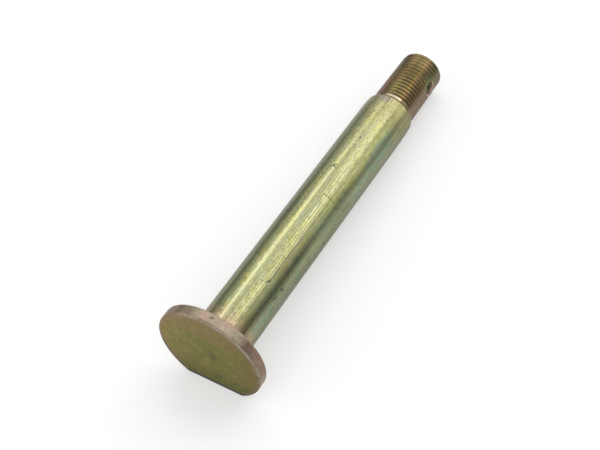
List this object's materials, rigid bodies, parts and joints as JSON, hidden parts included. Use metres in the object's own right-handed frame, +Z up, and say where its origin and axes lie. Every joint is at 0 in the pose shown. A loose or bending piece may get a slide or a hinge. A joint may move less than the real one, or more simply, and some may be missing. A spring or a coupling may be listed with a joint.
{
  "type": "stepped pin bolt",
  "caption": "Stepped pin bolt: a thin round head with a flat, a long plain shank, and a smaller fine-threaded end drilled across for a split pin.",
  "frame": {"origin": "on the surface the bolt lies on, under the middle of its box", "axes": "+X runs from the head to the threaded end along the surface, +Z is up; the bolt's own axis lies in the XZ plane and dips 3.02 degrees towards the threaded end"},
  "size_m": [0.1098, 0.0278, 0.0256],
  "materials": {
    "yellow_zinc_steel": "yellow passivated zinc plating, satin"
  },
  "bodies": {
    "root": {"pin_bolt": "yellow_zinc_steel"}
  },
  "joints": []
}
